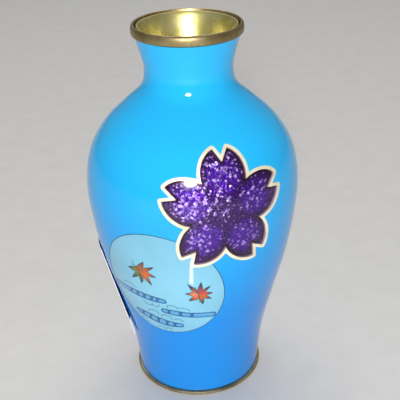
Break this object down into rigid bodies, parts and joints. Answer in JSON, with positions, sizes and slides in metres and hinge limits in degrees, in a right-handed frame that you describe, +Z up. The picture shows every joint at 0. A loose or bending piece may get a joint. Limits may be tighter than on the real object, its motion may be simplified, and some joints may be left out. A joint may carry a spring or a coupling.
{
  "type": "cloisonne vase",
  "caption": "Baluster vase of enamelled copper with flared neck, brass mouth and foot, and an inlaid blossom and moon scene.",
  "frame": {"origin": "centre of the foot ring, on the surface that the vase stands on", "axes": "+Z up along the axis of the vase, -Y towards the decorated face, +X to its right"},
  "size_m": [0.102, 0.102, 0.185],
  "materials": {
    "copper": "spun sheet copper, hidden under the enamel",
    "foot_brass": "worn silvery brass, satin",
    "rim_brass": "tarnished bronze-brown brass, satin with a soft highlight",
    "liner_brass": "bare brass, mottled yellow-green tarnish",
    "counter_enamel": "plain dark counter enamel, glossy",
    "ground_enamel": "opaque sky blue enamel, ground and polished to a high gloss",
    "moon_enamel": "opaque pale blue enamel, high gloss",
    "purple_enamel": "clear purple enamel over foil, high gloss",
    "embossed_foil": "crumpled and embossed silver foil seen through purple enamel",
    "bold_silver_wire": "broad polished silver outline, creamy white",
    "fine_silver_wire": "fine silver wire, darkened",
    "leaf_green_enamel": "olive green enamel shading to dark tips",
    "leaf_orange_enamel": "orange enamel shading to dark tips",
    "leaf_red_enamel": "orange-red enamel shading to dark tips",
    "water_enamel": "mid blue enamel, high gloss",
    "label_paper": "plain blank white paper"
  },
  "bodies": {
    "root": {"copper_body": "copper", "copper_neck": "copper", "copper_base": "copper", "foot_ring": "foot_brass", "mouth_rim": "rim_brass", "mouth_liner": "liner_brass", "counter_enamel": "counter_enamel", "base_enamel": "ground_enamel", "ground_enamel": "ground_enamel", "blossom_wire": "bold_silver_wire", "blossom_foil": "embossed_foil", "blossom_enamel": "purple_enamel", "moon_wire": "fine_silver_wire", "moon_enamel": "moon_enamel", "upper_leaf_wire": "fine_silver_wire", "upper_leaf_green_enamel": "leaf_green_enamel", "upper_leaf_orange_enamel": "leaf_orange_enamel", "lower_leaf_wire": "fine_silver_wire", "lower_leaf_red_enamel": "leaf_red_enamel", "lower_leaf_orange_enamel": "leaf_orange_enamel", "upper_stream_wire": "fine_silver_wire", "upper_stream_link_1": "water_enamel", "upper_stream_link_2": "water_enamel", "upper_stream_link_3": "water_enamel", "upper_stream_link_4": "water_enamel", "upper_stream_link_5": "water_enamel", "upper_stream_link_6": "water_enamel", "right_stream_wire": "fine_silver_wire", "right_stream_link_1": "water_enamel", "right_stream_link_2": "water_enamel", "right_stream_link_3": "water_enamel", "right_stream_link_4": "water_enamel", "lower_stream_wire": "fine_silver_wire", "lower_stream_link_1": "water_enamel", "lower_stream_link_2": "water_enamel", "lower_stream_link_3": "water_enamel", "lower_stream_link_4": "water_enamel", "lower_stream_link_5": "water_enamel", "lower_stream_link_6": "water_enamel", "ripple_wire_1": "fine_silver_wire", "ripple_wire_2": "fine_silver_wire", "ripple_wire_3": "fine_silver_wire", "ripple_wire_4": "fine_silver_wire", "ripple_wire_5": "fine_silver_wire", "paper_label": "label_paper"}
  },
  "joints": []
}
